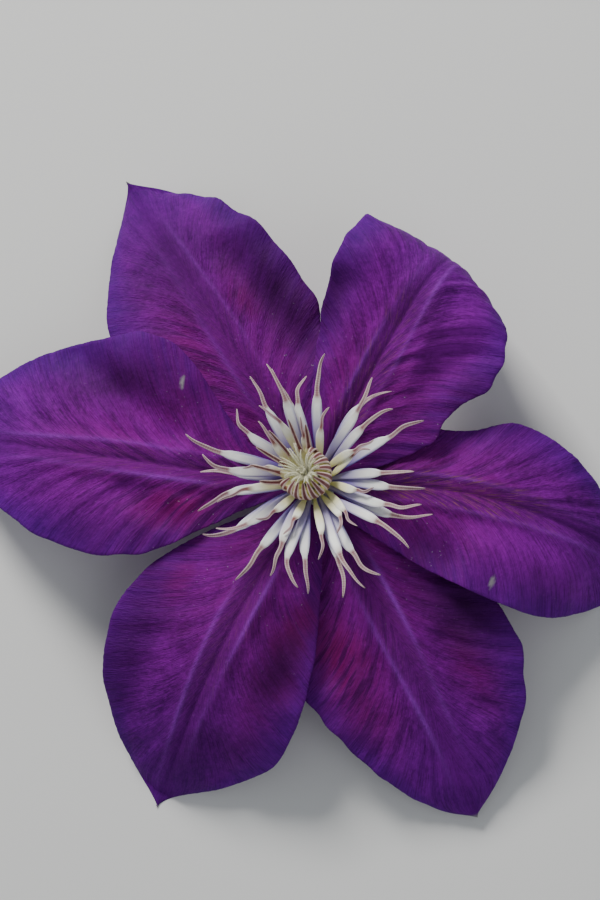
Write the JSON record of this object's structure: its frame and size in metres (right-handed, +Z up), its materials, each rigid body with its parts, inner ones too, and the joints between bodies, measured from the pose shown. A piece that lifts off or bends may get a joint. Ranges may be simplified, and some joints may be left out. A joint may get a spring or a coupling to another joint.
{
  "type": "clematis flower",
  "caption": "Large-flowered clematis bloom as picked, lying face up: broad purple tepals round an open boss of pale stamens, on a short cut stalk.",
  "frame": {"origin": "middle of the flower's box, on the surface that it rests on", "axes": "+Z up out of the open flower, along its stalk; +Y towards the pair of upper tepals; +X towards the right tepal, as seen from above"},
  "size_m": [0.1567, 0.1442, 0.0308],
  "materials": {
    "tepal": "satin, velvety deep purple petal with feathered veins",
    "stamen": "waxy cream-white filament with a mauve-edged, dark-ribbed anther",
    "hooked_stamen": "waxy straw-yellow filament with a red-brown striped anther",
    "style": "silky cream thread",
    "stalk": "matte, finely downy green with a purple flush"
  },
  "bodies": {
    "root": {"tepal_upper_left": "tepal", "tepal_upper_right": "tepal", "tepal_right": "tepal", "tepal_lower_right": "tepal", "tepal_lower_left": "tepal", "tepal_left": "tepal", "stamens_spreading": "stamen", "stamens_hooked": "hooked_stamen", "pistil": "style", "stalk": "stalk"}
  },
  "joints": []
}
